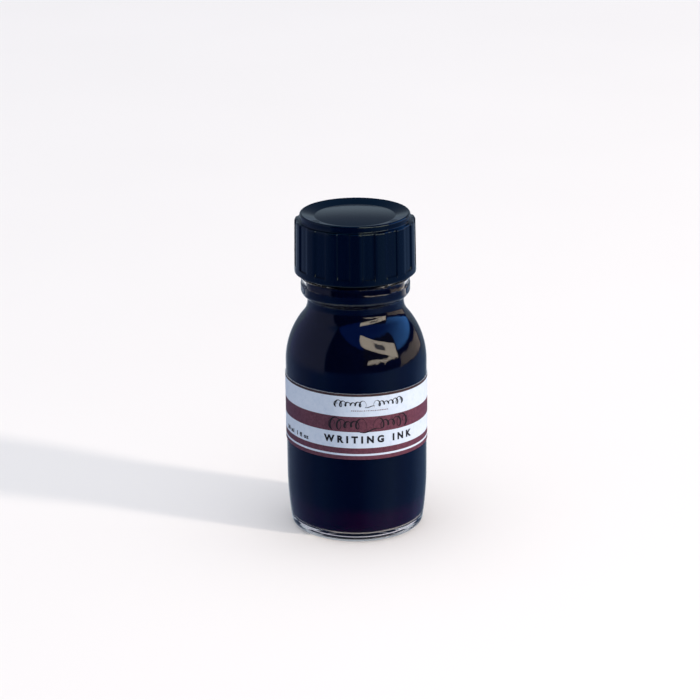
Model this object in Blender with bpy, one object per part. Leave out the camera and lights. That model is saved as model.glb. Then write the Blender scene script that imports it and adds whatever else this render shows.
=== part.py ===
"""Small round ink bottle: moulded glass with a screw neck, its ink, a wrap-around
paper label, and a ribbed screw cap that carries a two-layer liner.

The bottle stands on Z = 0 on the Z axis, with the middle of its label towards -Y.
Sizes below are in millimetres; the meshes are made in metres.
"""
import math

import bmesh
import bpy
from mathutils import Vector

MM = 0.001

# ---- driving dimensions (mm) ------------------------------------------------
SIDES = 48                  # facets round the bottle
CAP_SIDES = 60              # facets round the cap

BODY_RADIUS = 18.0
WALL = 2.2
LOWER_CURVE_TOP = 14.5      # below this height the body draws in
LOWER_CURVE_RADIUS = 90.0
HEEL_RADIUS = 1.5
BEARING_WIDTH = 5.0         # flat ring that the bottle stands on
PUSH_UP = 0.6               # hollow under the base
SHOULDER_START = 43.9
SHOULDER_RADIUS = 19.5
NECK_RADIUS = 12.25
NECK_FILLET = 5.3

INNER_SHOULDER_RADIUS = 17.0
INNER_FILLET = 7.0
BORE_RADIUS = 9.25
INNER_HEEL_RADIUS = 3.0
FLOOR_HEIGHT = 1.7

COLLAR_BOTTOM = 60.7
COLLAR_RADIUS = 13.85
COLLAR_JOIN = 64.5          # mould joint line round the collar
COLLAR_TOP = 66.4
COLLAR_STEP = 0.13
COLLAR_CURVE = 1.9          # hollow-side radius of the collar's lower half
COLLAR_CURVE_HEIGHT = 2.35  # centre of that curve above the collar's lower edge
COLLAR_EDGE = 0.5
CORNER = 0.3                # small fillet where a wall meets the collar, the land or a roof

FINISH_RADIUS = 12.45       # neck wall between the threads
LAND_HEIGHT = 77.2          # sealing face at the mouth
LAND_OUTER_EDGE = 1.0
LAND_INNER_EDGE = 0.6

LEAD = 3.18                 # rise of the thread in one turn
THREAD_START_ANGLE = math.radians(20.0)
THREAD_START = 70.9
THREAD_TURNS = 1.4
THREAD_CREST_RADIUS = 13.65
THREAD_ROOT_HALF = 1.1
THREAD_CREST_HALF = 0.42
CAP_THREAD_TURNS = 1.45
CAP_THREAD_CREST_RADIUS = 12.75
CAP_THREAD_ROOT_HALF = 0.8
CAP_THREAD_CREST_HALF = 0.33
RUN_OUT = math.radians(30.0)
SUNK_END = 0.1              # share of its height by which a thread's ends lie in the wall
THREAD_ROOT = 0.4           # how far a thread reaches into the wall it stands on

CLEARANCE = 0.3             # between pieces that touch on the real bottle
SKIN_GAP = 0.05             # between turned faces whose facets line up

INK_LEVEL = 70.0

LABEL_BOTTOM = 23.2
LABEL_TOP = 40.65
LABEL_THICKNESS = 0.15
LABEL_FREE_SIDES = 6        # facets left bare between the ends, at the back
LABEL_TILT = math.radians(-1.0)

CAP_BOTTOM = 67.5
CAP_BOTTOM_RADIUS = 15.38
CAP_FOOT_EDGE = 0.25
CAP_SHOULDER = 81.0
CAP_SHOULDER_RADIUS = 15.17
CAP_SHOULDER_ROUND = 0.35
CAP_TOP = 82.7
LIP_RADIUS = 13.9           # outside of the raised lip
LIP_ROUND = 0.45
LIP_FOOT = 0.2              # fillet between the lip and the ledge round it
DISH_SLOPE_END = 105.5      # degrees of the lip's round before the dish's side starts
DISH_RADIUS = 10.2
DISH_EDGE = 81.82
DISH_CENTRE = 82.17
CAP_INNER_RADIUS = 13.95
CAP_LEAD_IN = 0.4
LINER_RADIUS = 13.6
LINER_EDGE = 0.08
FACING_THICKNESS = 0.3
WAD_THICKNESS = 1.2

GRIP_RIBS = 15
GRIP_FIRST_GROOVE = math.radians(12.7)
GRIP_DEPTH = 0.35
GRIP_BOTTOM = 69.3
GRIP_TOP = 81.4             # above the ledge, so the grooves run out through it
GRIP_FLOOR_SPAN = math.radians(11.0)
GRIP_MOUTH_SPAN = math.radians(14.7)    # of the cutter, at GRIP_DEPTH outside the wall

FACING_BOTTOM = LAND_HEIGHT + CLEARANCE
WAD_BOTTOM = FACING_BOTTOM + FACING_THICKNESS + CLEARANCE
CAP_ROOF = WAD_BOTTOM + WAD_THICKNESS + CLEARANCE


# ---- outlines: points are (radius, height) ----------------------------------
def arc(centre, radius, start, end, steps):
    """Points on a circle from angle start to angle end, in degrees, both ends included."""
    points = []
    for step in range(steps + 1):
        angle = math.radians(start + (end - start) * step / steps)
        points.append((centre[0] + radius * math.cos(angle), centre[1] + radius * math.sin(angle)))
    return points


def shoulder(body_radius, shoulder_radius, neck_radius, fillet, steps):
    """The convex shoulder and the hollow neck fillet, tangent to each other, upwards."""
    centre = (body_radius - shoulder_radius, SHOULDER_START)
    reach = neck_radius + fillet - centre[0]
    rise = math.sqrt((shoulder_radius + fillet) ** 2 - reach ** 2)
    tangent = math.degrees(math.atan2(rise, reach))
    convex = arc(centre, shoulder_radius, 0.0, tangent, steps)
    hollow_centre = (neck_radius + fillet, SHOULDER_START + rise)
    hollow = arc(hollow_centre, fillet, 180.0 + tangent, 180.0, steps // 2)
    return convex + hollow[1:]


def lower_body():
    """The heel and the slow curve above it, upwards from the bearing ring."""
    centre_radius = BODY_RADIUS - LOWER_CURVE_RADIUS
    drop = LOWER_CURVE_TOP - HEEL_RADIUS
    heel_centre_radius = centre_radius + math.sqrt((LOWER_CURVE_RADIUS - HEEL_RADIUS) ** 2 - drop ** 2)
    slope = -math.degrees(math.asin(drop / (LOWER_CURVE_RADIUS - HEEL_RADIUS)))
    heel = arc((heel_centre_radius, HEEL_RADIUS), HEEL_RADIUS, -90.0, slope, 4)
    curve = arc((centre_radius, LOWER_CURVE_TOP), LOWER_CURVE_RADIUS, slope, 0.0, 4)
    return heel + curve[1:]


def inside(gap):
    """The inner wall from the centre of the floor to the neck bore, moved inwards by gap."""
    body_radius = BODY_RADIUS - WALL - gap
    floor = FLOOR_HEIGHT + gap
    heel = INNER_HEEL_RADIUS - gap
    points = [(0.0, floor)]
    points += arc((body_radius - heel, floor + heel), heel, -90.0, 0.0, 5)
    points += shoulder(body_radius, INNER_SHOULDER_RADIUS - gap, BORE_RADIUS - gap, INNER_FILLET + gap, 6)
    return points


def collar():
    """The bead under the thread, with the step of its mould joint, upwards."""
    upper = COLLAR_RADIUS - COLLAR_STEP
    lower_centre = (COLLAR_RADIUS - COLLAR_CURVE, COLLAR_BOTTOM + COLLAR_CURVE_HEIGHT)
    points = [(NECK_RADIUS, COLLAR_BOTTOM - CORNER), (NECK_RADIUS + CORNER, COLLAR_BOTTOM + CORNER)]
    points += arc(lower_centre, COLLAR_CURVE, -50.0, 0.0, 3)
    points += [(COLLAR_RADIUS, COLLAR_JOIN), (upper, COLLAR_JOIN + COLLAR_STEP)]
    points += arc((upper - COLLAR_EDGE, COLLAR_TOP - COLLAR_EDGE), COLLAR_EDGE, 0.0, 90.0, 2)
    points += [(FINISH_RADIUS + CORNER, COLLAR_TOP), (FINISH_RADIUS, COLLAR_TOP + CORNER)]
    return points


def glass_outline():
    lower = lower_body()
    hollow_edge = lower[0][0] - BEARING_WIDTH
    points = [(0.0, PUSH_UP), (hollow_edge * 0.6, PUSH_UP * 0.75), (hollow_edge, 0.0)]
    points += lower
    points += shoulder(BODY_RADIUS, SHOULDER_RADIUS, NECK_RADIUS, NECK_FILLET, 8)
    points += collar()
    edge_centre = (FINISH_RADIUS - LAND_OUTER_EDGE, LAND_HEIGHT - LAND_OUTER_EDGE)
    points += arc(edge_centre, LAND_OUTER_EDGE, 0.0, 90.0, 3)
    edge_centre = (BORE_RADIUS + LAND_INNER_EDGE, LAND_HEIGHT - LAND_INNER_EDGE)
    points += arc(edge_centre, LAND_INNER_EDGE, 90.0, 180.0, 2)
    points += reversed(inside(0.0))
    return points


def ink_outline():
    return inside(SKIN_GAP) + [(BORE_RADIUS - SKIN_GAP, INK_LEVEL), (0.0, INK_LEVEL)]


def cap_outline():
    """The cap without its grip grooves and thread, from the roof's underside, down and round."""
    points = [(0.0, CAP_ROOF), (CAP_INNER_RADIUS - CORNER, CAP_ROOF), (CAP_INNER_RADIUS, CAP_ROOF - CORNER)]
    points += [(CAP_INNER_RADIUS, CAP_BOTTOM + CAP_LEAD_IN), (CAP_INNER_RADIUS + CAP_LEAD_IN, CAP_BOTTOM)]
    points += [(CAP_BOTTOM_RADIUS - CAP_FOOT_EDGE, CAP_BOTTOM), (CAP_BOTTOM_RADIUS, CAP_BOTTOM + CAP_FOOT_EDGE)]
    round_centre = (CAP_SHOULDER_RADIUS - CAP_SHOULDER_ROUND, CAP_SHOULDER - CAP_SHOULDER_ROUND)
    points += arc(round_centre, CAP_SHOULDER_ROUND, 0.0, 90.0, 3)
    points += [(LIP_RADIUS + LIP_FOOT, CAP_SHOULDER), (LIP_RADIUS, CAP_SHOULDER + LIP_FOOT)]
    points += arc((LIP_RADIUS - LIP_ROUND, CAP_TOP - LIP_ROUND), LIP_ROUND, 0.0, DISH_SLOPE_END, 5)
    crown = DISH_CENTRE - 0.3 * (DISH_CENTRE - DISH_EDGE)
    points += [(DISH_RADIUS, DISH_EDGE), (DISH_RADIUS * 0.55, crown), (0.0, DISH_CENTRE)]
    return points


# ---- mesh helpers -----------------------------------------------------------
def material(name, colour, roughness, metallic=0.0):
    made = bpy.data.materials.new(name)
    made.use_nodes = True
    shader = made.node_tree.nodes["Principled BSDF"]
    shader.inputs["Base Color"].default_value = (*colour, 1.0)
    shader.inputs["Roughness"].default_value = roughness
    shader.inputs["Metallic"].default_value = metallic
    made.diffuse_color = (*colour, 1.0)
    return made


def finished_object(name, mesh_builder, finish):
    """Close the bmesh into a smooth-shaded object in the scene."""
    bmesh.ops.recalc_face_normals(mesh_builder, faces=mesh_builder.faces)
    mesh = bpy.data.meshes.new(name)
    mesh_builder.to_mesh(mesh)
    mesh_builder.free()
    mesh.shade_smooth()
    mesh.set_sharp_from_angle(angle=math.radians(35.0))
    made = bpy.data.objects.new(name, mesh)
    bpy.context.scene.collection.objects.link(made)
    if finish:
        mesh.materials.append(finish)
    return made


def turned(name, outline, sides, finish):
    """A body turned about Z from an outline whose two ends are on the axis."""
    builder = bmesh.new()
    verts = [builder.verts.new((radius * MM, 0.0, height * MM)) for radius, height in outline]
    edges = [builder.edges.new(pair) for pair in zip(verts, verts[1:])]
    bmesh.ops.spin(builder, geom=verts + edges, cent=(0, 0, 0), axis=(0, 0, 1),
                   angle=2.0 * math.pi, steps=sides, use_merge=True)
    bmesh.ops.remove_doubles(builder, verts=builder.verts, dist=1e-6)
    return finished_object(name, builder, finish)


def helix_ridge(name, wall_radius, crest_radius, root_half, crest_half, first, turns, start_height, sides):
    """A thread ridge along a right-hand helix, which fades into the wall at both ends."""
    inward = crest_radius < wall_radius
    buried = wall_radius + (THREAD_ROOT if inward else -THREAD_ROOT)
    slope = (root_half - crest_half) / abs(crest_radius - wall_radius)
    builder = bmesh.new()
    steps = round(turns * sides)
    rings = []
    for step in range(steps + 1):
        turned_by = 2.0 * math.pi * turns * step / steps
        fade = min(1.0, turned_by / RUN_OUT, (2.0 * math.pi * turns - turned_by) / RUN_OUT)
        raised = fade - SUNK_END * (1.0 - fade)
        crest = wall_radius + (crest_radius - wall_radius) * raised
        height = start_height + LEAD * turned_by / (2.0 * math.pi)
        buried_half = root_half + THREAD_ROOT * slope
        half = root_half - slope * abs(crest_radius - wall_radius) * raised
        angle = first + turned_by
        ring = []
        for radius, offset in ((buried, -buried_half), (crest, -half), (crest, half), (buried, buried_half)):
            place = (radius * math.cos(angle) * MM, radius * math.sin(angle) * MM, (height + offset) * MM)
            ring.append(builder.verts.new(place))
        rings.append(ring)
    for lower, upper in zip(rings, rings[1:]):
        for side in range(4):
            following = (side + 1) % 4
            builder.faces.new((lower[side], lower[following], upper[following], upper[side]))
    builder.faces.new(rings[0])
    builder.faces.new(rings[-1])
    return finished_object(name, builder, None)


def grip_cutter():
    """One tapered wedge for each groove between the grip ribs, all in one mesh."""
    builder = bmesh.new()
    draft = (CAP_SHOULDER_RADIUS - CAP_BOTTOM_RADIUS) / (CAP_SHOULDER - CAP_BOTTOM)
    for groove in range(GRIP_RIBS):
        middle = GRIP_FIRST_GROOVE - math.pi / 2.0 + 2.0 * math.pi * groove / GRIP_RIBS
        rings = []
        for height in (GRIP_BOTTOM, GRIP_TOP):
            wall = CAP_BOTTOM_RADIUS + draft * (height - CAP_BOTTOM)
            floor = wall - GRIP_DEPTH
            mouth = wall + GRIP_DEPTH
            corners = [(floor, -0.5), (floor, -0.17), (floor, 0.17), (floor, 0.5)]
            places = [(radius, middle + share * GRIP_FLOOR_SPAN) for radius, share in corners]
            places += [(mouth, middle + share * GRIP_MOUTH_SPAN) for share in (0.5, -0.5)]
            ring = []
            for radius, angle in places:
                spot = Vector((radius * math.cos(angle), radius * math.sin(angle), height)) * MM
                ring.append(builder.verts.new(spot))
            rings.append(ring)
        count = len(rings[0])
        for side in range(count):
            following = (side + 1) % count
            builder.faces.new((rings[0][side], rings[0][following], rings[1][following], rings[1][side]))
        builder.faces.new(rings[0])
        builder.faces.new(rings[1])
    return finished_object("grip_cutter", builder, None)


def combine(target, tool, operation):
    """Join or cut target with tool, and keep tool only as a wire guide."""
    change = target.modifiers.new(tool.name, "BOOLEAN")
    change.operation = operation
    change.object = tool
    tool.hide_render = True
    tool.display_type = "WIRE"


# ---- pieces -----------------------------------------------------------------
def make_bottle(finish):
    bottle = turned("glass_bottle", glass_outline(), SIDES, finish)
    thread = helix_ridge("bottle_thread", FINISH_RADIUS, THREAD_CREST_RADIUS, THREAD_ROOT_HALF,
                         THREAD_CREST_HALF, THREAD_START_ANGLE, THREAD_TURNS, THREAD_START, SIDES)
    combine(bottle, thread, "UNION")
    return bottle


def make_label(finish):
    """A strip bent round the body, its ends apart at the back, put on slightly out of square."""
    inner = BODY_RADIUS + SKIN_GAP
    outer = inner + LABEL_THICKNESS
    wrapped_sides = SIDES - LABEL_FREE_SIDES
    span = 2.0 * math.pi * wrapped_sides / SIDES
    first = -math.pi / 2.0 - span / 2.0
    builder = bmesh.new()
    corners = []
    section = ((inner, LABEL_BOTTOM), (outer, LABEL_BOTTOM), (outer, LABEL_TOP), (inner, LABEL_TOP))
    for radius, height in section:
        spot = Vector((radius * math.cos(first), radius * math.sin(first), height)) * MM
        corners.append(builder.verts.new(spot))
    end = builder.faces.new(corners)
    bmesh.ops.spin(builder, geom=[end], cent=(0, 0, 0), axis=(0, 0, 1), angle=span, steps=wrapped_sides)
    for vert in builder.verts:
        vert.co.z += vert.co.x * math.tan(LABEL_TILT)
    return finished_object("paper_label", builder, finish)


def make_cap(finish):
    cap = turned("screw_cap", cap_outline(), CAP_SIDES, finish)
    combine(cap, grip_cutter(), "DIFFERENCE")
    thread = helix_ridge("cap_thread", CAP_INNER_RADIUS, CAP_THREAD_CREST_RADIUS, CAP_THREAD_ROOT_HALF,
                         CAP_THREAD_CREST_HALF, THREAD_START_ANGLE, CAP_THREAD_TURNS,
                         THREAD_START - LEAD / 2.0, CAP_SIDES)
    combine(cap, thread, "UNION")
    return cap


def make_disc(name, bottom, thickness, finish):
    top = bottom + thickness
    outline = [(0.0, bottom), (LINER_RADIUS - LINER_EDGE, bottom), (LINER_RADIUS, bottom + LINER_EDGE)]
    outline += [(LINER_RADIUS, top - LINER_EDGE), (LINER_RADIUS - LINER_EDGE, top), (0.0, top)]
    return turned(name, outline, SIDES, finish)


def main():
    for item in list(bpy.data.objects):
        bpy.data.objects.remove(item)

    glass = material("clear_glass", (0.80, 0.86, 0.88), 0.05)
    ink = material("dark_rose_ink", (0.020, 0.006, 0.022), 0.10)
    paper = material("label_paper", (0.72, 0.74, 0.80), 0.60)
    plastic = material("black_thermoset", (0.010, 0.014, 0.020), 0.30)
    board = material("pulpboard", (0.62, 0.52, 0.38), 0.90)
    film = material("white_film", (0.80, 0.80, 0.78), 0.40)

    make_bottle(glass)
    turned("ink_fill", ink_outline(), SIDES, ink)
    make_label(paper)
    make_cap(plastic)
    make_disc("liner_wad", WAD_BOTTOM, WAD_THICKNESS, board)
    make_disc("liner_facing", FACING_BOTTOM, FACING_THICKNESS, film)


main()
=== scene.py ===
"""Looks of the ink bottle: clear moulded glass, near-black rose ink, a printed paper
label and a ribbed black screw cap, on a pale floor in soft light.

Lengths in the code are in millimetres unless a name ends in _m, and meshes are made
in metres. The bottle stands on Z = 0 on the Z axis and its label faces -Y.
"""
import math

import bpy
import numpy as np
from mathutils import Euler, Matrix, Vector


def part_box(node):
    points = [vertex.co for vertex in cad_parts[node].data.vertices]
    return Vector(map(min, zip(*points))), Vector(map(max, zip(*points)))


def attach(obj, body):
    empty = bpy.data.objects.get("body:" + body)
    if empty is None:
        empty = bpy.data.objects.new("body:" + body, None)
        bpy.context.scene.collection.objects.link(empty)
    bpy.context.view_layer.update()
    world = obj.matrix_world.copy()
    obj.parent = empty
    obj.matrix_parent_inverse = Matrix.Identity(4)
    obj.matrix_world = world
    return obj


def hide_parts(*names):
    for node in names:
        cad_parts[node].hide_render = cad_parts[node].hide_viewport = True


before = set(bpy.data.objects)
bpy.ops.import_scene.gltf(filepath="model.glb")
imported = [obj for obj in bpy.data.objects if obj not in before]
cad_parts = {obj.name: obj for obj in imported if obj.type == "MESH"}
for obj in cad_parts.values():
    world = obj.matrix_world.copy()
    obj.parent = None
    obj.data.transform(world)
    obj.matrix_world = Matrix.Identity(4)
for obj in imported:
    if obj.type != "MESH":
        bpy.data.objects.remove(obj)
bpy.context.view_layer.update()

MM = 0.001


# ---- sizes taken from the frame (mm) ----------------------------------------
def extent(node):
    """A node's lowest and highest corners at rest, in millimetres."""
    low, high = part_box(node)
    return [value / MM for value in low], [value / MM for value in high]


GLASS_LOW, GLASS_HIGH = extent("glass_bottle")
LABEL_LOW, LABEL_HIGH = extent("paper_label")
CAP_LOW, CAP_HIGH = extent("screw_cap")

BODY_RADIUS = (GLASS_HIGH[0] - GLASS_LOW[0]) / 2.0
LAND_HEIGHT = GLASS_HIGH[2]
INK_LEVEL = extent("ink_fill")[1][2]
LABEL_RADIUS = (LABEL_HIGH[0] - LABEL_LOW[0]) / 2.0
CAP_BOTTOM = CAP_LOW[2]
CAP_TOP = CAP_HIGH[2]
CAP_RADIUS = (CAP_HIGH[0] - CAP_LOW[0]) / 2.0
CAP_ROOF = extent("liner_wad")[1][2] + 0.3

# ---- shape of the glass (mm) ------------------------------------------------
WALL = 2.2
LOWER_CURVE_TOP = 14.5
LOWER_CURVE_RADIUS = 90.0
HEEL_RADIUS = 1.5
BEARING_WIDTH = 5.0
PUSH_UP = 0.6
GLOW_KNURL_HEIGHT = 0.8        # faces of the hollow base lie below this
SHOULDER_START = 43.9
SHOULDER_RADIUS = 19.5
NECK_RADIUS = 12.25
NECK_FILLET = 5.3
INNER_SHOULDER_RADIUS = 17.0
INNER_FILLET = 7.0
BORE_RADIUS = 9.25
INNER_HEEL_RADIUS = 3.0
FLOOR_HEIGHT = 1.7
# the knurled ring between these radii also carries a painted glow
GLOW_KNURL_RADII = (8.7, 9.4)        # radii between which the hollow base is knurled
COLLAR_BOTTOM = 60.7
COLLAR_RADIUS = 13.85
COLLAR_JOIN = 64.5
COLLAR_TOP = 66.4
COLLAR_STEP = 0.13
FINISH_RADIUS = 12.45
LAND_OUTER_EDGE = 1.0
LAND_INNER_EDGE = 0.6
LEAD = 3.18
THREAD_START_ANGLE = math.radians(20.0)
THREAD_START = 70.9
THREAD_DEPTH = 1.15
RUN_OUT = 1.0 / 12.0        # of a turn, where a thread fades in or out

# ---- optics ------------------------------------------------------------------
GLASS_IOR = 1.51
INK_TO_GLASS = 1.335 / GLASS_IOR
SHINE = 6.0                 # brightest radiance that a surface mirrors

# ---- shape of the cap (mm) --------------------------------------------------
CAP_SHOULDER = CAP_TOP - 1.7
CAP_SHOULDER_RADIUS = CAP_RADIUS - 0.21
CAP_SHOULDER_ROUND = 0.35
LIP_RADIUS = 13.9
LIP_ROUND = 0.45
LIP_ROUND_END = 105.5       # degrees round the lip, where the dish's side starts
DISH_RADIUS = 10.2
DISH_EDGE = CAP_TOP - 0.88
DISH_CENTRE = CAP_TOP - 0.53
DISH_FILLET = 0.8
CAP_INNER_RADIUS = 13.95
GRIP_RIBS = 15
GRIP_FIRST_GROOVE = math.radians(12.7)
GRIP_DEPTH = 0.35
GRIP_BOTTOM = CAP_BOTTOM + 1.8
GRIP_FLOOR_HALF = math.radians(5.45)
GRIP_MOUTH_HALF = math.radians(6.55)
GRIP_END = 0.05             # half the height over which a groove ends

# ---- label (mm, heights above its lower edge) -------------------------------
LABEL_TILT = math.radians(-1.0)
LABEL_HALF_SPAN = math.radians(157.5)
LABEL_SHEET = 0.12
PRINT_RISE = 0.03           # artwork stands this far proud of the paper
ART_CENTRE = math.radians(10.5)
MARKS_HEIGHT = 13.05        # of the row of small marks
HAIR_STROKE = 0.17          # the thinnest that a pen loop gets
TILT_RISE = LABEL_RADIUS * math.tan(abs(LABEL_TILT))
LABEL_BOTTOM = LABEL_LOW[2] + TILT_RISE
LABEL_TOP = LABEL_HIGH[2] - TILT_RISE
BANDS = [("burgundy", 1.02), ("paper", 0.52), ("burgundy", 1.53), ("paper", 4.3),
         ("burgundy", 4.08), ("paper", 5.32), ("hairline", 0.68)]


# ---- outlines: points are (radius, height) ----------------------------------
def arc(centre, radius, start, end, steps):
    angles = np.radians(np.linspace(start, end, steps + 1))
    return [(centre[0] + radius * math.cos(a), centre[1] + radius * math.sin(a)) for a in angles]


def line(start, end, steps):
    """Points along a straight wall after its start, so that the mesh stays even."""
    return [(start[0] + (end[0] - start[0]) * step / steps,
             start[1] + (end[1] - start[1]) * step / steps) for step in range(1, steps + 1)]


def shoulder(body_radius, shoulder_radius, neck_radius, fillet, steps):
    """The convex shoulder and the hollow neck fillet, tangent to each other, upwards."""
    centre = (body_radius - shoulder_radius, SHOULDER_START)
    reach = neck_radius + fillet - centre[0]
    rise = math.sqrt((shoulder_radius + fillet) ** 2 - reach ** 2)
    tangent = math.degrees(math.atan2(rise, reach))
    convex = arc(centre, shoulder_radius, 0.0, tangent, steps)
    hollow = arc((neck_radius + fillet, SHOULDER_START + rise), fillet, 180.0 + tangent, 180.0,
                 steps // 2)
    return convex + hollow[1:]


def lower_body():
    """The heel and the slow curve above it, upwards from the bearing ring."""
    centre_radius = BODY_RADIUS - LOWER_CURVE_RADIUS
    drop = LOWER_CURVE_TOP - HEEL_RADIUS
    reach = LOWER_CURVE_RADIUS - HEEL_RADIUS
    heel_centre = (centre_radius + math.sqrt(reach ** 2 - drop ** 2), HEEL_RADIUS)
    slope = -math.degrees(math.asin(drop / reach))
    heel = arc(heel_centre, HEEL_RADIUS, -90.0, slope, 14)
    return heel + arc((centre_radius, LOWER_CURVE_TOP), LOWER_CURVE_RADIUS, slope, 0.0, 12)[1:]


def inside(outwards):
    """The inner wall from the centre of the floor to the neck bore, moved by outwards."""
    body_radius = BODY_RADIUS - WALL + outwards
    floor = FLOOR_HEIGHT - outwards
    heel = INNER_HEEL_RADIUS + outwards
    points = [(0.0, floor)] + line((0.0, floor), (body_radius - heel, floor), 6)[:-1]
    points += arc((body_radius - heel, floor + heel), heel, -90.0, 0.0, 16)
    points += line(points[-1], (body_radius, SHOULDER_START), 12)[:-1]
    points += shoulder(body_radius, INNER_SHOULDER_RADIUS + outwards, BORE_RADIUS + outwards,
                       INNER_FILLET - outwards, 24)
    return points


def collar():
    """The bead round the neck with its mould joint line, upwards."""
    upper = COLLAR_RADIUS - COLLAR_STEP
    points = arc((NECK_RADIUS + 0.5, COLLAR_BOTTOM - 0.1), 0.5, 180.0, 120.0, 4)
    points += arc((COLLAR_RADIUS - 1.9, COLLAR_BOTTOM + 2.35), 1.9, -48.0, 0.0, 9)
    points += [(COLLAR_RADIUS, COLLAR_JOIN - 0.12)]
    points += arc((COLLAR_RADIUS - 0.1, COLLAR_JOIN - 0.08), 0.1, 0.0, 80.0, 3)
    points += [(upper, COLLAR_JOIN + 0.12)]
    points += arc((upper - 0.25, COLLAR_TOP - 0.25), 0.25, 0.0, 90.0, 6)
    points += arc((FINISH_RADIUS + 0.35, COLLAR_TOP + 0.35), 0.35, 270.0, 180.0, 4)
    return points


def glass_outline():
    """The glass from the centre of the hollow base, up the outside and down the inside."""
    lower = lower_body()
    hollow_edge = lower[0][0] - BEARING_WIDTH
    hollow = [(hollow_edge * math.sin(t), PUSH_UP * math.cos(t) ** 2)
              for t in np.linspace(0.0, math.pi / 2.0, 12)]
    ring = [(hollow_edge + BEARING_WIDTH * share, 0.0) for share in (0.2, 0.4, 0.6, 0.8)]
    points = hollow + ring + lower
    points += line(lower[-1], (BODY_RADIUS, SHOULDER_START), 14)[:-1]
    points += shoulder(BODY_RADIUS, SHOULDER_RADIUS, NECK_RADIUS, NECK_FILLET, 30)
    points += collar()
    land_edge = (FINISH_RADIUS - LAND_OUTER_EDGE, LAND_HEIGHT - LAND_OUTER_EDGE)
    points += line(points[-1], (FINISH_RADIUS, land_edge[1]), 56)[:-1]
    points += arc(land_edge, LAND_OUTER_EDGE, 0.0, 90.0, 8)
    points += arc((BORE_RADIUS + LAND_INNER_EDGE, LAND_HEIGHT - LAND_INNER_EDGE), LAND_INNER_EDGE,
                  90.0, 180.0, 6)
    wall = inside(0.0)
    points += line(points[-1], wall[-1], 8)[:-1]
    points += reversed(wall)
    return points


def ink_outline(contact=0.04, meniscus=1.1):
    """The ink reaches a hair into the glass, so that no air shows between them."""
    radius = BORE_RADIUS + contact
    points = inside(contact) + [(radius, INK_LEVEL)]
    for share in np.linspace(0.0, 1.0, 10)[1:]:
        lift = 0.6 * math.exp(-share * radius / meniscus)
        points.append((radius * (1.0 - share), INK_LEVEL - 0.6 + lift))
    return points


def cap_outline():
    """The cap before its grip grooves and thread, from the roof's underside, down and round."""
    roof_round = 0.3
    points = [(0.0, CAP_ROOF), (CAP_INNER_RADIUS * 0.5, CAP_ROOF)]
    points += arc((CAP_INNER_RADIUS - roof_round, CAP_ROOF - roof_round), roof_round, 90.0, 0.0, 4)
    points += line(points[-1], (CAP_INNER_RADIUS, CAP_BOTTOM + 0.4), 60)
    points += [(CAP_INNER_RADIUS + 0.3, CAP_BOTTOM + 0.08), (CAP_INNER_RADIUS + 0.45, CAP_BOTTOM)]
    points += arc((CAP_RADIUS - 0.3, CAP_BOTTOM + 0.3), 0.3, -90.0, 0.0, 6)
    points += [(CAP_RADIUS, CAP_BOTTOM + 1.1)]
    draft = (CAP_SHOULDER_RADIUS - CAP_RADIUS) / (CAP_SHOULDER - CAP_BOTTOM)
    heights = [GRIP_BOTTOM + GRIP_END * step for step in (-1.0, -0.6, -0.2, 0.2, 0.6, 1.0)]
    heights += list(np.linspace(GRIP_BOTTOM + 1.2, CAP_SHOULDER - 1.2, 8))
    points += [(CAP_RADIUS + draft * (height - CAP_BOTTOM), height) for height in heights]
    round_centre = (CAP_SHOULDER_RADIUS - CAP_SHOULDER_ROUND, CAP_SHOULDER - CAP_SHOULDER_ROUND)
    points += arc(round_centre, CAP_SHOULDER_ROUND, 0.0, 86.0, 8)
    points += arc((LIP_RADIUS + 0.22, CAP_SHOULDER + 0.24), 0.22, -95.0, -180.0, 5)
    points += arc((LIP_RADIUS - LIP_ROUND, CAP_TOP - LIP_ROUND), LIP_ROUND, 0.0,
                  LIP_ROUND_END, 14)
    points += arc((DISH_RADIUS - 0.082, DISH_EDGE + 0.807), DISH_FILLET, -74.5, -93.9, 5)
    sag = DISH_CENTRE - DISH_EDGE
    points += [(DISH_RADIUS * share, DISH_CENTRE - sag * share ** 2)
               for share in np.linspace(0.94, 0.0, 16)]
    return points


# ---- meshes -----------------------------------------------------------------
def add_object(name, verts, faces, materials, sharp=40.0, slots=None):
    mesh = bpy.data.meshes.new(name)
    mesh.from_pydata([tuple(vert) for vert in verts], [], faces)
    mesh.validate()
    for finish in materials:
        mesh.materials.append(finish)
    if slots is not None:
        mesh.polygons.foreach_set("material_index", slots)
    mesh.shade_smooth()
    mesh.set_sharp_from_angle(angle=math.radians(sharp))
    mesh.update()
    made = bpy.data.objects.new(name, mesh)
    bpy.context.scene.collection.objects.link(made)
    return made


def turned(name, outline, angles, materials, shape=None, sharp=40.0):
    """A closed body turned about Z. shape(radius, height, angle) may change the radius.
    The outline starts and ends on the axis and runs with its solid on the right-hand side
    when seen with the radius to the right and the height up, or the other way round:
    the faces are turned outwards at the end."""
    verts = []
    rings = []
    for radius, height in outline:
        if radius < 1e-9:
            rings.append([len(verts)])
            verts.append((0.0, 0.0, height * MM))
            continue
        ring = []
        for angle in angles:
            reach = shape(radius, height, angle) if shape else radius
            ring.append(len(verts))
            verts.append((reach * math.cos(angle) * MM, reach * math.sin(angle) * MM, height * MM))
        rings.append(ring)
    count = len(angles)
    faces = []
    for lower, upper in zip(rings, rings[1:]):
        for side in range(count):
            after = (side + 1) % count
            if len(lower) == 1:
                faces.append((lower[0], upper[after], upper[side]))
            elif len(upper) == 1:
                faces.append((lower[side], lower[after], upper[0]))
            else:
                faces.append((lower[side], lower[after], upper[after], upper[side]))
    made = add_object(name, verts, faces, materials, sharp)
    turn_outwards(made)
    return made


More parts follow.
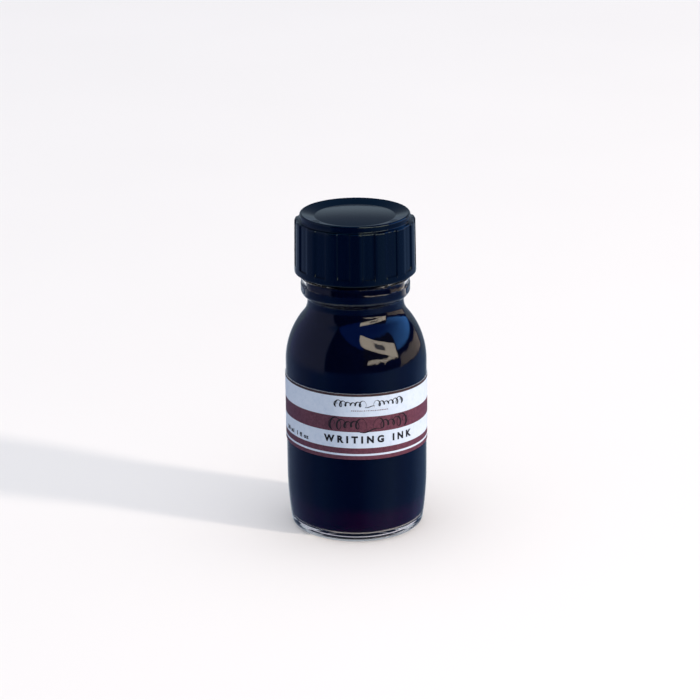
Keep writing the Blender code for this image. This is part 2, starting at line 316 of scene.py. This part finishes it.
def turn_outwards(piece):
    """Flip every face of a closed piece if its volume comes out negative."""
    mesh = piece.data
    mesh.calc_loop_triangles()
    volume = 0.0
    for triangle in mesh.loop_triangles:
        a, b, c = (mesh.vertices[index].co for index in triangle.vertices)
        volume += a.dot(b.cross(c))
    if volume < 0.0:
        mesh.flip_normals()


def even_angles(count):
    return [2.0 * math.pi * step / count for step in range(count)]


def smooth_step(value):
    value = min(1.0, max(0.0, value))
    return value * value * (3.0 - 2.0 * value)


def thread_height(angle, height, start, turns, root_half, crest_half):
    """How far up its flank a right-hand thread is here, from 0 on the wall to 1 on the crest."""
    passed = ((angle - THREAD_START_ANGLE) / (2.0 * math.pi)) % 1.0
    best = 0.0
    while passed <= turns:
        away = abs(height - (start + LEAD * passed))
        fade = smooth_step(min(passed, turns - passed) / RUN_OUT)
        best = max(best, fade * smooth_step((root_half - away) / (root_half - crest_half)))
        passed += 1.0
    return best


def glass_shape(radius, height, angle):
    """Raises the screw thread on the outside of the finish."""
    outside = abs(radius - FINISH_RADIUS) < 1e-6
    if not outside or height < COLLAR_TOP:
        return radius
    return radius + THREAD_DEPTH * thread_height(angle, height, THREAD_START, 1.4, 1.15, 0.35)


def cap_shape(radius, height, angle):
    """Cuts the grip grooves outside and raises the thread inside."""
    if abs(radius - CAP_INNER_RADIUS) < 1e-6:
        return radius - THREAD_DEPTH * thread_height(angle, height, THREAD_START - LEAD / 2.0,
                                                       1.45, 0.85, 0.28)
    if radius < LIP_RADIUS + 0.6:
        return radius
    pitch = 2.0 * math.pi / GRIP_RIBS
    off = (angle + math.pi / 2.0 - GRIP_FIRST_GROOVE + pitch / 2.0) % pitch - pitch / 2.0
    across = smooth_step((GRIP_MOUTH_HALF - abs(off)) / (GRIP_MOUTH_HALF - GRIP_FLOOR_HALF))
    above = smooth_step((height - GRIP_BOTTOM + GRIP_END) / (2.0 * GRIP_END))
    return radius - GRIP_DEPTH * across * above


def grip_angles():
    """Angles round the cap, close together where a groove's wall rises."""
    wall = list(np.linspace(GRIP_FLOOR_HALF, GRIP_MOUTH_HALF, 7))
    half = [math.radians(2.7)] + wall + [math.radians(9.3)]
    offsets = [-value for value in reversed(half)] + [0.0] + half + [math.radians(12.0)]
    pitch = 2.0 * math.pi / GRIP_RIBS
    middles = [GRIP_FIRST_GROOVE - math.pi / 2.0 + pitch * rib for rib in range(GRIP_RIBS)]
    return [middle + offset for middle in middles for offset in offsets]


# ---- label ------------------------------------------------------------------
def on_label(across, height, out):
    """A point on the label: across is the angle from its centre, height is above its lower
    edge, and out is the distance proud of the sheet's face."""
    angle = across - math.pi / 2.0
    radius = LABEL_RADIUS - PRINT_RISE + out
    x, y = radius * math.cos(angle), radius * math.sin(angle)
    return (x * MM, y * MM, (LABEL_BOTTOM + height + x * math.tan(LABEL_TILT)) * MM)


def make_label_sheet(finishes):
    """The paper with its printed bands, as one closed bent sheet."""
    columns = 126
    edges = [0.0]
    kinds = []
    for kind, depth in BANDS:
        rows = max(1, round(depth / 1.4))
        for row in range(rows):
            edges.append(edges[-1] + depth / rows)
            kinds.append(kind)
    scale = (LABEL_TOP - LABEL_BOTTOM) / edges[-1]
    edges = [edge * scale for edge in edges]
    names = list(finishes)
    verts = []
    for out in (0.0, -LABEL_SHEET):
        for column in range(columns + 1):
            across = -LABEL_HALF_SPAN + 2.0 * LABEL_HALF_SPAN * column / columns
            verts += [on_label(across, edge, out) for edge in edges]
    count = len(edges)
    layer = count * (columns + 1)
    faces = []
    slots = []
    for column in range(columns):
        near, far = column * count, (column + 1) * count
        for row, kind in enumerate(kinds):
            faces.append((near + row, far + row, far + row + 1, near + row + 1))
            slots.append(names.index(kind))
            faces.append(tuple(layer + index for index in reversed(faces[-1])))
            slots.append(names.index("paper"))
        for row in (0, count - 1):
            rim = (near + row, near + row + layer, far + row + layer, far + row)
            faces.append(rim if row == 0 else tuple(reversed(rim)))
            slots.append(names.index("paper"))
    for column in (0, columns):
        for row in range(count - 1):
            low = column * count + row
            rim = (low, low + 1, low + 1 + layer, low + layer)
            faces.append(rim if column == 0 else tuple(reversed(rim)))
            slots.append(names.index("paper"))
    made = add_object("label_sheet", verts, faces, list(finishes.values()), 40.0, slots)
    turn_outwards(made)
    return made


def stroke(art, path, widths):
    """A thin raised stroke on the label, along points (mm across, mm up)."""
    verts, faces = art
    path = np.array(path)
    ahead = np.gradient(path, axis=0)
    ahead /= np.linalg.norm(ahead, axis=1)[:, None]
    side = np.stack([-ahead[:, 1], ahead[:, 0]], 1) * (np.array(widths) / 2.0)[:, None]
    first = len(verts)
    for left, right in zip(path + side, path - side):
        for x, height in (left, right):
            for out in (PRINT_RISE, -PRINT_RISE):
                verts.append(on_label(ART_CENTRE + x / LABEL_RADIUS, height, out))
    for step in range(len(path) - 1):
        a = first + 4 * step
        b = a + 4
        faces += [(a, b, b + 2, a + 2), (a + 3, b + 3, b + 1, a + 1), (a + 1, b + 1, b, a),
                  (a + 2, b + 2, b + 3, a + 3)]
    last = len(verts) - 4
    faces += [(first, first + 2, first + 3, first + 1), (last + 1, last + 3, last + 2, last)]


def pen_widths(path, thin, thick):
    """Widths of a stroke written with a flexible pen: thick going down, thin going up."""
    ahead = np.gradient(np.array(path), axis=0)
    slope = np.arctan2(ahead[:, 1], ahead[:, 0])
    down = np.clip(np.sin(-slope + 0.25), 0.0, 1.0) ** 1.5
    taper = np.clip(np.linspace(0.0, 8.0, len(path)), 0.3, 1.0)
    return (thin + (thick - thin) * down) * taper * taper[::-1]


def loop_run(art, inner, outer, middle, turns, size, thick):
    """A pair of mirrored runs of pen loops that grow outwards and end in a curl."""
    path = []
    for t in np.linspace(0.0, 1.0, 34 * turns):
        swell = size * (0.42 + 0.58 * smooth_step(abs(2.0 * t - 0.9)))
        turn = 2.0 * math.pi * turns * t
        path.append((inner + (outer - inner) * t - 0.62 * swell * math.sin(turn),
                     middle - swell * math.cos(turn)))
    for t in np.linspace(0.0, 1.0, 30)[1:]:
        turn = -math.pi / 2.0 + 1.7 * math.pi * t
        reach = size * (1.0 - 0.72 * t)
        path.append((outer + 0.8 * reach * math.cos(turn), middle + reach * math.sin(turn)))
    for side in (1.0, -1.0):
        run = [(side * x, height) for x, height in path]
        widths = pen_widths(path, HAIR_STROKE, thick)
        if side < 0.0:
            run, widths = run[::-1], widths[::-1]
        stroke(art, run, widths)


def words(art, text, size, weight, spacing, middle, height):
    """A line of text in the built-in font, wrapped on the label."""
    data = bpy.data.curves.new("words", "FONT")
    data.body = text
    data.size = size
    data.offset = weight
    data.space_character = spacing
    data.align_x = "CENTER"
    data.extrude = PRINT_RISE
    data.resolution_u = 4
    flat = bpy.data.objects.new("words", data)
    bpy.context.scene.collection.objects.link(flat)
    depsgraph = bpy.context.evaluated_depsgraph_get()
    mesh = bpy.data.meshes.new_from_object(flat.evaluated_get(depsgraph))
    verts, faces = art
    first = len(verts)
    for vert in mesh.vertices:
        across = middle + vert.co.x / LABEL_RADIUS
        verts.append(on_label(across, height + vert.co.y, vert.co.z))
    faces += [tuple(first + index for index in polygon.vertices) for polygon in mesh.polygons]
    bpy.data.objects.remove(flat)
    bpy.data.meshes.remove(mesh)
    bpy.data.curves.remove(data)


def make_artwork(black, red):
    """Mirrored pen flourishes, a ruled line of small marks and plain generic words."""
    art = ([], [])
    loop_run(art, 1.2, 8.6, 14.85, 6, 0.92, 0.40)
    stroke(art, [(x, 14.1 + 0.22 * math.sin(x * 1.6)) for x in np.linspace(-1.3, 1.3, 24)],
           [0.06 + 0.16 * math.sin(math.pi * t) for t in np.linspace(0.0, 1.0, 24)])
    loop_run(art, 1.5, 9.6, 9.45, 5, 1.70, 0.44)
    stroke(art, [(x, 7.75 + 0.5 * math.sin(x * 0.9)) for x in np.linspace(-3.6, 3.6, 50)],
           [0.06 + 0.30 * math.sin(math.pi * t) ** 2 for t in np.linspace(0.0, 1.0, 50)])
    words(art, "WRITING INK", 2.45, 0.125, 1.68, ART_CENTRE, 4.50)
    words(art, "30 ml  1 fl oz", 1.45, 0.070, 1.22, math.radians(-58.0), 3.75)
    dark_faces = len(art[1])
    for place in np.linspace(-4.6, 4.6, 21):
        half = 0.17 if round(place * 10) % 3 else 0.10
        stroke(art, [(place + shift, MARKS_HEIGHT) for shift in (-half, 0.0, half)], [0.10, 0.24, 0.10])
    slots = [0] * dark_faces + [1] * (len(art[1]) - dark_faces)
    return add_object("label_artwork", art[0], art[1], [black, red], 30.0, slots)


# ---- materials --------------------------------------------------------------
def new_material(name):
    made = bpy.data.materials.new(name)
    made.use_nodes = True
    return made, made.node_tree.nodes, made.node_tree.links, made.node_tree.nodes["Principled BSDF"]


def noise(nodes, links, scale, detail=3.0, roughness=0.55, stretch=(1.0, 1.0, 1.0)):
    """Object-space noise whose scale is given per metre."""
    where = nodes.new("ShaderNodeTexCoord")
    place = nodes.new("ShaderNodeMapping")
    place.inputs["Scale"].default_value = stretch
    made = nodes.new("ShaderNodeTexNoise")
    made.inputs["Scale"].default_value = scale
    made.inputs["Detail"].default_value = detail
    made.inputs["Roughness"].default_value = roughness
    links.new(where.outputs["Object"], place.inputs["Vector"])
    links.new(place.outputs["Vector"], made.inputs["Vector"])
    return made.outputs["Fac"]


def spread(nodes, links, value, low, high, low_in=0.3, high_in=0.7):
    made = nodes.new("ShaderNodeMapRange")
    made.inputs["From Min"].default_value = low_in
    made.inputs["From Max"].default_value = high_in
    made.inputs["To Min"].default_value = low
    made.inputs["To Max"].default_value = high
    links.new(value, made.inputs["Value"])
    return made.outputs["Result"]


def colours(nodes, links, value, stops):
    made = nodes.new("ShaderNodeValToRGB")
    ramp = made.color_ramp
    while len(ramp.elements) < len(stops):
        ramp.elements.new(0.5)
    for element, (place, colour) in zip(ramp.elements, stops):
        element.position = place
        element.color = (*colour, 1.0)
    links.new(value, made.inputs["Fac"])
    return made.outputs["Color"]


def bump(nodes, links, shader, height, distance, strength=1.0):
    made = nodes.new("ShaderNodeBump")
    made.inputs["Distance"].default_value = distance
    made.inputs["Strength"].default_value = strength
    links.new(height, made.inputs["Height"])
    links.new(made.outputs["Normal"], shader.inputs["Normal"])


def glass_material():
    made, nodes, links, shader = new_material("moulded_glass")
    shader.inputs["Base Color"].default_value = (0.97, 0.99, 0.985, 1.0)
    shader.inputs["Transmission Weight"].default_value = 1.0
    shader.inputs["IOR"].default_value = GLASS_IOR
    links.new(spread(nodes, links, noise(nodes, links, 90.0), 0.0, 0.02), shader.inputs["Roughness"])
    ripple = noise(nodes, links, 110.0, 1.5, 0.4, (1.0, 1.0, 0.55))
    bump(nodes, links, shader, ripple, 0.00006)
    return made


def stippled_glow_material():
    """The fine knurling moulded under the base, with a painted glow: its faint emission stands in for
    the light caught in the glass.
    """
    made, nodes, links, shader = new_material("stippled_glass_painted_glow")
    grain = noise(nodes, links, 2400.0, 3.0)
    links.new(colours(nodes, links, grain, [(0.3, (0.62, 0.62, 0.72)), (0.7, (0.86, 0.86, 0.93))]),
              shader.inputs["Base Color"])
    shader.inputs["Transmission Weight"].default_value = 0.3
    shader.inputs["IOR"].default_value = GLASS_IOR
    # painted glow: this emission is no lamp, it stands in for light caught in the glass base
    shader.inputs["Emission Color"].default_value = (0.86, 0.84, 0.96, 1.0)
    shader.inputs["Emission Strength"].default_value = 0.42
    links.new(spread(nodes, links, grain, 0.35, 0.6), shader.inputs["Roughness"])
    bump(nodes, links, shader, grain, 0.00004, 0.6)
    return made


def ink_material():
    """Opaque ink in contact with the glass. Seen from inside the glass at a grazing angle the
    contact reflects like a mirror, because ink bends light less than glass does."""
    made, nodes, links, shader = new_material("rose_black_ink")
    shader.inputs["IOR"].default_value = 1.02
    shader.inputs["Roughness"].default_value = 0.03
    where = nodes.new("ShaderNodeTexCoord")
    split = nodes.new("ShaderNodeSeparateXYZ")
    links.new(where.outputs["Object"], split.inputs["Vector"])
    cloud = noise(nodes, links, 55.0, 2.0)
    wave = nodes.new("ShaderNodeMath")
    wave.operation = "MULTIPLY_ADD"
    wave.inputs[1].default_value = 0.004
    links.new(cloud, wave.inputs[0])
    links.new(split.outputs["Z"], wave.inputs[2])
    # Redder towards the bottom, blue-black higher up: the red low down is a painted glow standing in
    # for light through the thin ink near the base; the deep red hue is the ink's own.
    height = spread(nodes, links, wave.outputs["Value"], 0.0, 1.0, 0.0070, 0.0115)
    tint = colours(nodes, links, height, [(0.0, (0.0064, 0.0003, 0.0058)),
                                          (0.5, (0.0060, 0.0004, 0.0054)),
                                          (1.0, (0.0004, 0.0008, 0.0040))])
    fresnel = nodes.new("ShaderNodeFresnel")
    fresnel.inputs["IOR"].default_value = INK_TO_GLASS
    mirror = spread(nodes, links, fresnel.outputs["Fac"], 0.0, 1.0, 0.03, 1.0)
    mix = nodes.new("ShaderNodeMix")
    mix.data_type = "RGBA"
    mix.inputs["B"].default_value = (1.0, 1.0, 1.0, 1.0)
    links.new(mirror, mix.inputs["Factor"])
    links.new(tint, mix.inputs["A"])
    links.new(mix.outputs["Result"], shader.inputs["Base Color"])
    links.new(mirror, shader.inputs["Metallic"])
    return made


def ink_surface_material():
    made, nodes, links, shader = new_material("ink_free_surface")
    shader.inputs["IOR"].default_value = 1.34
    tint = colours(nodes, links, noise(nodes, links, 180.0),
                   [(0.3, (0.006, 0.002, 0.006)), (0.7, (0.012, 0.003, 0.009))])
    links.new(tint, shader.inputs["Base Color"])
    links.new(spread(nodes, links, noise(nodes, links, 400.0), 0.02, 0.06), shader.inputs["Roughness"])
    return made


def paper_material():
    made, nodes, links, shader = new_material("label_paper")
    fibre = noise(nodes, links, 2600.0, 4.0, 0.65, (1.0, 1.0, 0.45))
    # the blue in the paper's colour is a painted cast of blue skylight on its shaded side; the mottling
    # is the paper's own
    tone = colours(nodes, links, noise(nodes, links, 850.0, 6.0, 0.75),
                   [(0.30, (0.480, 0.590, 0.735)), (0.46, (0.560, 0.655, 0.780)),
                    (0.70, (0.615, 0.700, 0.820))])
    links.new(tone, shader.inputs["Base Color"])
    links.new(spread(nodes, links, fibre, 0.62, 0.82), shader.inputs["Roughness"])
    shader.inputs["Specular IOR Level"].default_value = 0.35
    bump(nodes, links, shader, fibre, 0.00002, 0.5)
    return made


def print_material(name, dark, light, roughness=(0.45, 0.62)):
    """Printing ink laid on the paper, a little uneven where it soaks in."""
    made, nodes, links, shader = new_material(name)
    fibre = noise(nodes, links, 2600.0, 4.0, 0.65, (1.0, 1.0, 0.45))
    mottle = noise(nodes, links, 1500.0, 6.0, 0.8)
    tone = colours(nodes, links, mottle, [(0.36, dark), (0.64, light)])
    links.new(tone, shader.inputs["Base Color"])
    links.new(spread(nodes, links, fibre, *roughness), shader.inputs["Roughness"])
    shader.inputs["Specular IOR Level"].default_value = 0.4
    bump(nodes, links, shader, fibre, 0.000015, 0.5)
    return made


def cap_material():
    made, nodes, links, shader = new_material("black_thermoset")
    flow = noise(nodes, links, 140.0, 4.0, 0.6, (1.0, 1.0, 0.35))
    tone = colours(nodes, links, flow, [(0.3, (0.0001, 0.0004, 0.0016)),
                                        (0.75, (0.0003, 0.0010, 0.0032))])
    links.new(tone, shader.inputs["Base Color"])
    grain = noise(nodes, links, 1500.0, 4.0, 0.6)
    links.new(spread(nodes, links, grain, 0.07, 0.12), shader.inputs["Roughness"])
    shader.inputs["IOR"].default_value = 1.5
    shader.inputs["Specular Tint"].default_value = (0.75, 1.0, 1.0, 1.0)
    bump(nodes, links, shader, grain, 0.000012, 0.6)
    return made


def board_material():
    made, nodes, links, shader = new_material("liner_pulpboard")
    fleck = noise(nodes, links, 1400.0, 6.0, 0.7)
    links.new(colours(nodes, links, fleck, [(0.3, (0.30, 0.24, 0.16)), (0.7, (0.55, 0.46, 0.33))]),
              shader.inputs["Base Color"])
    links.new(spread(nodes, links, fleck, 0.8, 0.95), shader.inputs["Roughness"])
    bump(nodes, links, shader, fleck, 0.00005, 0.7)
    return made


def film_material():
    made, nodes, links, shader = new_material("liner_white_film")
    haze = noise(nodes, links, 600.0, 3.0)
    links.new(colours(nodes, links, haze, [(0.3, (0.70, 0.70, 0.67)), (0.7, (0.80, 0.80, 0.78))]),
              shader.inputs["Base Color"])
    links.new(spread(nodes, links, haze, 0.28, 0.42), shader.inputs["Roughness"])
    bump(nodes, links, shader, haze, 0.00002, 0.5)
    return made


# ---- stage ------------------------------------------------------------------
def make_floor():
    size = 3.0
    verts = [(-size, -size, 0.0), (size, -size, 0.0), (size, size, 0.0), (-size, size, 0.0)]
    made, nodes, links, shader = new_material("pale_floor")
    tone = colours(nodes, links, noise(nodes, links, 6.0, 2.0),
                   [(0.3, (0.865, 0.855, 0.855)), (0.7, (0.88, 0.87, 0.87))])
    links.new(tone, shader.inputs["Base Color"])
    shader.inputs["Roughness"].default_value = 0.9
    shader.inputs["Specular IOR Level"].default_value = 0.0
    floor = add_object("floor", verts, [(0, 1, 2, 3)], [made])
    floor.visible_glossy = False


def calc(nodes, links, operation, *values):
    made = nodes.new("ShaderNodeMath")
    made.operation = operation
    for socket, value in zip(made.inputs, values):
        if isinstance(value, (int, float)):
            socket.default_value = value
        else:
            links.new(value, socket)
    return made.outputs["Value"]


def ramp_up(nodes, links, value, start, end):
    """Rises smoothly from 0 at start to 1 at end; with start above end it falls instead."""
    made = nodes.new("ShaderNodeMapRange")
    made.interpolation_type = "SMOOTHSTEP"
    made.inputs["From Min"].default_value = start
    made.inputs["From Max"].default_value = end
    links.new(value, made.inputs["Value"])
    return made.outputs["Result"]


def lay(nodes, links, under, over, mask):
    """Lay a colour, given or made by nodes, over another where mask is 1."""
    made = nodes.new("ShaderNodeMix")
    made.data_type = "RGBA"
    for socket, value in ((made.inputs["A"], under), (made.inputs["B"], over)):
        if isinstance(value, tuple):
            socket.default_value = (*(channel / SHINE for channel in value), 1.0)
        else:
            links.new(value, socket)
    links.new(mask, made.inputs["Factor"])
    return made.outputs["Result"]


def make_world():
    """Three worlds in one: an overhead dome lights the scene, a dim blue room with a sky and
    some warm cards is what glass and plastic mirror, and a plain pale wall is what shows
    through clear glass. Angles are in degrees: azimuth 0 is towards the camera and grows to
    the right, and elevation is above the horizon. Colours are radiances."""
    world = bpy.data.worlds.new("soft_studio")
    bpy.context.scene.world = world
    world.use_nodes = True
    nodes, links = world.node_tree.nodes, world.node_tree.links
    nodes.clear()

    where = nodes.new("ShaderNodeTexCoord")
    split = nodes.new("ShaderNodeSeparateXYZ")
    links.new(where.outputs["Generated"], split.inputs["Vector"])
    east, north, up = (split.outputs[axis] for axis in "XYZ")
    south = calc(nodes, links, "MULTIPLY", north, -1.0)
    azimuth = calc(nodes, links, "DEGREES", calc(nodes, links, "ARCTAN2", east, south))
    elevation = calc(nodes, links, "DEGREES", calc(nodes, links, "ARCSINE", up))
    ragged = nodes.new("ShaderNodeTexNoise")
    ragged.inputs["Scale"].default_value = 5.0
    ragged.inputs["Detail"].default_value = 4.0
    links.new(where.outputs["Generated"], ragged.inputs["Vector"])
    wobble = calc(nodes, links, "MULTIPLY",
                  calc(nodes, links, "SUBTRACT", ragged.outputs["Fac"], 0.5), 12.0)
    azimuth_edge = calc(nodes, links, "ADD", azimuth, wobble)
    elevation_edge = calc(nodes, links, "ADD", elevation, wobble)

    def card(left, right, low, high, soft, ragged_edge=False):
        """A mask that is 1 on a rectangle of azimuth and elevation and 0 off it."""
        across = azimuth_edge if ragged_edge else azimuth
        rise = elevation_edge if ragged_edge else elevation
        mask = ramp_up(nodes, links, across, left - soft, left + soft)
        for value, start, end in ((across, right + soft, right - soft),
                                  (rise, low - soft, low + soft),
                                  (rise, high + soft, high - soft)):
            mask = calc(nodes, links, "MULTIPLY", mask, ramp_up(nodes, links, value, start, end))
        return mask

    def stops_of(scale, offset, stops):
        """Stops (angle, radiance) as stops (share of the ramp, colour)."""
        return [((angle + offset) / scale, tuple(channel / SHINE for channel in radiance))
                for angle, radiance in stops]

    # the walls of the mirrored room, by azimuth
    walls = [(-180, (0.70, 0.77, 0.84)), (-167, (0.45, 0.52, 0.62)), (-150, (0.17, 0.22, 0.34)),
             (-130, (0.15, 0.21, 0.39)), (-106, (0.10, 0.15, 0.37)), (-90, (0.08, 0.13, 0.35)),
             (-74, (0.045, 0.10, 0.35)), (-58, (0.040, 0.105, 0.35)), (-40, (0.016, 0.064, 0.29)),
             (-18, (0.008, 0.042, 0.24)), (4, (0.008, 0.040, 0.22)), (24, (0.038, 0.105, 0.36)),
             (42, (0.075, 0.155, 0.42)), (58, (0.105, 0.200, 0.47)), (78, (0.078, 0.150, 0.43)),
             (100, (0.068, 0.150, 0.41)), (120, (0.12, 0.21, 0.45)), (140, (0.12, 0.20, 0.38)),
             (156, (0.15, 0.21, 0.31)), (168, (0.45, 0.52, 0.62)), (180, (0.70, 0.77, 0.84))]
    full_turn = calc(nodes, links, "DIVIDE", calc(nodes, links, "ADD", azimuth, 180.0), 360.0)
    shine = colours(nodes, links, full_turn, stops_of(360.0, 180.0, walls))

    # the floor of the room, and its far wall, which fades upwards
    deep = ramp_up(nodes, links, elevation, -34.0, -52.0)
    shine = lay(nodes, links, shine, (0.50, 0.57, 0.68), deep)
    far_wall = [(0.0, (0.19, 0.24, 0.33)), (7.0, (0.21, 0.27, 0.36)), (11.0, (0.32, 0.40, 0.49)),
                (18.0, (0.120, 0.155, 0.225)), (25.0, (0.075, 0.12, 0.21)), (40.0, (0.03, 0.09, 0.22))]
    fade = colours(nodes, links, calc(nodes, links, "DIVIDE", elevation, 90.0),
                   stops_of(90.0, 0.0, far_wall))
    turned_away = calc(nodes, links, "ABSOLUTE", azimuth)
    upper_rear = calc(nodes, links, "MULTIPLY", ramp_up(nodes, links, turned_away, 128.0, 150.0),
                      ramp_up(nodes, links, elevation, -17.0, -11.0))
    shine = lay(nodes, links, shine, fade, upper_rear)

    # a dull wall on the left, the ceiling, and the dark opening in front
    shine = lay(nodes, links, shine, (0.19, 0.22, 0.44), card(-142.0, -50.0, -10.0, 48.0, 6.0))
    ceiling = ramp_up(nodes, links, elevation, 48.0, 70.0)
    shine = lay(nodes, links, shine, (0.03, 0.20, 0.42), ceiling)
    shine = lay(nodes, links, shine, (0.004, 0.012, 0.10), card(-52.0, 139.0, -7.5, 76.0, 1.5))

    # the sky in the opening, brighter low on the right, under a sloping edge on the left
    slant = calc(nodes, links, "ADD", elevation, calc(nodes, links, "MULTIPLY", azimuth, 0.45))
    glow = calc(nodes, links, "MULTIPLY", ramp_up(nodes, links, azimuth, 0.0, 108.0),
                ramp_up(nodes, links, elevation, 52.0, 14.0))
    sky = lay(nodes, links, (0.015, 0.085, 0.60), (0.26, 0.88, 2.45), glow)
    gap = calc(nodes, links, "MULTIPLY", card(-51.0, 20.0, 5.0, 70.0, 1.5),
               ramp_up(nodes, links, slant, 31.0, 33.5))
    shine = lay(nodes, links, shine, sky, gap)
    shine = lay(nodes, links, shine, sky, card(15.0, 137.0, 13.0, 70.0, 2.0))

    # warm cards on the right, two of them cut along the slope
    shine = lay(nodes, links, shine, (0.03, 0.03, 0.06), card(12.0, 77.0, 3.0, 40.0, 2.0, True))
    band = calc(nodes, links, "MULTIPLY", ramp_up(nodes, links, slant, 36.0, 38.0),
                ramp_up(nodes, links, slant, 57.0, 55.0))
    sunlit = calc(nodes, links, "MULTIPLY", band, card(10.0, 74.0, 3.0, 50.0, 1.5, True))
    shine = lay(nodes, links, shine, (5.4, 4.7, 3.8), sunlit)
    panes = calc(nodes, links, "MULTIPLY", card(35.0, 52.0, 10.0, 45.0, 1.5),
                 ramp_up(nodes, links, slant, 42.0, 43.5))
    panes = calc(nodes, links, "MULTIPLY", panes, ramp_up(nodes, links, slant, 51.5, 50.0))
    shine = lay(nodes, links, shine, (0.70, 0.66, 0.68), panes)
    shine = lay(nodes, links, shine, (4.6, 4.0, 3.2), card(19.0, 66.0, 5.0, 10.0, 1.5, True))
    shine = lay(nodes, links, shine, (0.80, 0.66, 0.58), card(78.0, 137.0, -6.0, 5.0, 2.0, True))

    mirrored = nodes.new("ShaderNodeBackground")
    mirrored.inputs["Strength"].default_value = SHINE
    links.new(shine, mirrored.inputs["Color"])

    # the dome: strongest overhead, blue and faint at the horizon
    overhead = calc(nodes, links, "POWER", calc(nodes, links, "MAXIMUM", up, 0.0), 5.0)
    dome = colours(nodes, links, overhead, [(0.0, (0.00, 0.015, 0.050)), (1.0, (1.0, 0.974, 0.936))])
    light = nodes.new("ShaderNodeBackground")
    light.inputs["Strength"].default_value = 3.22
    links.new(dome, light.inputs["Color"])

    # the wall behind clear glass
    through = nodes.new("ShaderNodeBackground")
    through.inputs["Color"].default_value = (0.80, 0.86, 0.95, 1.0)
    through.inputs["Strength"].default_value = 0.60

    # a refracted ray counts as glossy too, so the wall behind is chosen last
    path = nodes.new("ShaderNodeLightPath")
    opaque = nodes.new("ShaderNodeMixShader")
    links.new(path.outputs["Is Glossy Ray"], opaque.inputs["Fac"])
    links.new(light.outputs["Background"], opaque.inputs[1])
    links.new(mirrored.outputs["Background"], opaque.inputs[2])
    mix = nodes.new("ShaderNodeMixShader")
    links.new(path.outputs["Is Transmission Ray"], mix.inputs["Fac"])
    links.new(opaque.outputs["Shader"], mix.inputs[1])
    links.new(through.outputs["Background"], mix.inputs[2])
    output = nodes.new("ShaderNodeOutputWorld")
    links.new(mix.outputs["Shader"], output.inputs["Surface"])


def make_key():
    """A small low warm lamp from the right, which nothing mirrors."""
    azimuth, elevation, reach = math.radians(68.0), math.radians(14.8), 1.7
    target = Vector((0.0, 0.0, 0.03))
    flat = reach * math.cos(elevation)
    place = Vector((flat * math.sin(azimuth), -flat * math.cos(azimuth), reach * math.sin(elevation)))
    data = bpy.data.lights.new("key", "AREA")
    data.energy = 26.0
    data.color = (1.0, 0.87, 0.76)
    data.size = 0.14
    made = bpy.data.objects.new("key", data)
    made.location = place
    made.rotation_euler = (target - place).to_track_quat("-Z", "Y").to_euler()
    made.visible_glossy = False
    bpy.context.scene.collection.objects.link(made)


def make_camera():
    """A longish lens, 19 degrees above the bottle, with the slight lean of a hand-held view."""
    distance = 0.640
    elevation = math.radians(18.80)
    lean = math.radians(-0.56)
    target = Vector((-1.54 * MM, 0.0, 46.17 * MM))
    data = bpy.data.cameras.new("camera")
    data.sensor_width = 36.0
    data.lens = 129.1
    data.clip_start = 0.01
    made = bpy.data.objects.new("camera", data)
    back = Vector((0.0, -math.cos(elevation), math.sin(elevation)))
    made.location = target + back * distance
    rotation = (-back).to_track_quat("-Z", "Y")
    made.rotation_euler = (rotation @ Euler((0.0, 0.0, lean)).to_quaternion()).to_euler()
    bpy.context.scene.collection.objects.link(made)
    bpy.context.scene.camera = made


def give(piece, body, node):
    """Hand a piece to its body and hide the CAD node that it stands for, if any."""
    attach(piece, body)
    if node:
        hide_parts(node)


def main():
    make_camera()
    make_floor()
    make_world()
    make_key()

    glass = turned("bottle_glass", glass_outline(), even_angles(180),
                   [glass_material(), stippled_glow_material()], glass_shape)
    # the knurled ring under the base takes the painted-glow material
    for face in glass.data.polygons:
        reach = math.hypot(face.center.x, face.center.y) / MM
        if face.center.z < GLOW_KNURL_HEIGHT * MM and GLOW_KNURL_RADII[0] < reach < GLOW_KNURL_RADII[1]:
            face.material_index = 1
    glass.visible_shadow = False
    give(glass, "bottle", "glass_bottle")

    ink = turned("bottle_ink", ink_outline(), even_angles(120),
                 [ink_material(), ink_surface_material()])
    top_m = (INK_LEVEL - 0.7) * MM
    for face in ink.data.polygons:
        if face.center.z > top_m and abs(face.normal.z) > 0.3:
            face.material_index = 1
    give(ink, "bottle", "ink_fill")

    burgundy = print_material("print_burgundy", (0.078, 0.021, 0.036), (0.150, 0.046, 0.070))
    hairline = print_material("print_hairline", (0.012, 0.007, 0.009), (0.075, 0.036, 0.030))
    sheet = make_label_sheet({"paper": paper_material(), "burgundy": burgundy, "hairline": hairline})
    give(sheet, "bottle", "paper_label")
    black = print_material("print_black", (0.004, 0.004, 0.006), (0.012, 0.011, 0.015), (0.5, 0.65))
    give(make_artwork(black, burgundy), "bottle", None)

    cap = turned("cap_shell", cap_outline(), grip_angles(), [cap_material()], cap_shape, 50.0)
    give(cap, "cap", "screw_cap")

    for node, finish in (("liner_wad", board_material()), ("liner_facing", film_material())):
        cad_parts[node].material_slots[0].material = finish


main()
bpy.context.scene.view_settings.view_transform = "Standard"
